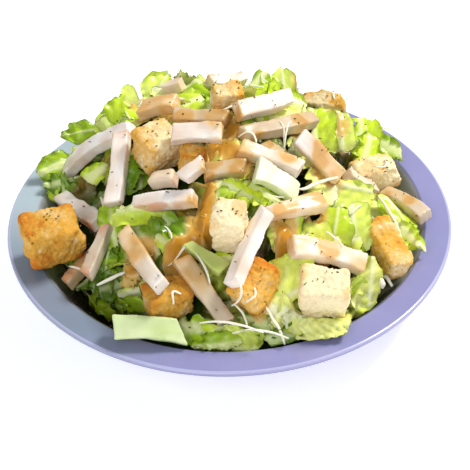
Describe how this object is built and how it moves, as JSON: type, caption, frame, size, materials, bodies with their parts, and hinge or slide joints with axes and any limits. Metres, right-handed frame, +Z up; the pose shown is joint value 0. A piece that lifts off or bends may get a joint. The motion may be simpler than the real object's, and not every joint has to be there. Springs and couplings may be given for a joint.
{
  "type": "chicken caesar salad in a bowl",
  "caption": "Wide-rimmed shallow bowl heaped with torn romaine, strips of roast chicken, toasted croutons and creamy dressing.",
  "frame": {"origin": "centre of the bowl's foot, on the surface it stands on", "axes": "+Z up through the heap; -Y is the side that faces the diner; +X is the diner's right"},
  "size_m": [0.265, 0.265, 0.112],
  "materials": {
    "bowl": "pale lavender glaze, smooth and softly glossy",
    "romaine": "torn romaine leaves, fresh green to pale yellow, moist",
    "rib": "pale crisp romaine rib, moist",
    "chicken": "sliced roast chicken breast, pale with a golden skin",
    "crouton": "toasted herbed bread, rough crumb"
  },
  "bodies": {
    "root": {"bowl": "bowl", "romaine_heap": "romaine", "chicken_01": "chicken", "chicken_02": "chicken", "chicken_03": "chicken", "chicken_04": "chicken", "chicken_05": "chicken", "chicken_06": "chicken", "chicken_07": "chicken", "chicken_08": "chicken", "chicken_09": "chicken", "chicken_10": "chicken", "chicken_11": "chicken", "chicken_12": "chicken", "chicken_13": "chicken", "chicken_14": "chicken", "chicken_15": "chicken", "chicken_16": "chicken", "chicken_17": "chicken", "chicken_18": "chicken", "chicken_19": "chicken", "chicken_20": "chicken", "chicken_21": "chicken", "chicken_22": "chicken", "chicken_23": "chicken", "chicken_24": "chicken", "chicken_25": "chicken", "chicken_26": "chicken", "chicken_27": "chicken", "chicken_28": "chicken", "chicken_29": "chicken", "chicken_30": "chicken", "crouton_01": "crouton", "crouton_02": "crouton", "crouton_03": "crouton", "crouton_04": "crouton", "crouton_05": "crouton", "crouton_06": "crouton", "crouton_07": "crouton", "crouton_08": "crouton", "crouton_09": "crouton", "crouton_10": "crouton", "crouton_11": "crouton", "crouton_12": "crouton", "crouton_13": "crouton", "crouton_14": "crouton", "romaine_rib_01": "rib", "romaine_rib_02": "rib", "romaine_rib_03": "rib"}
  },
  "joints": []
}
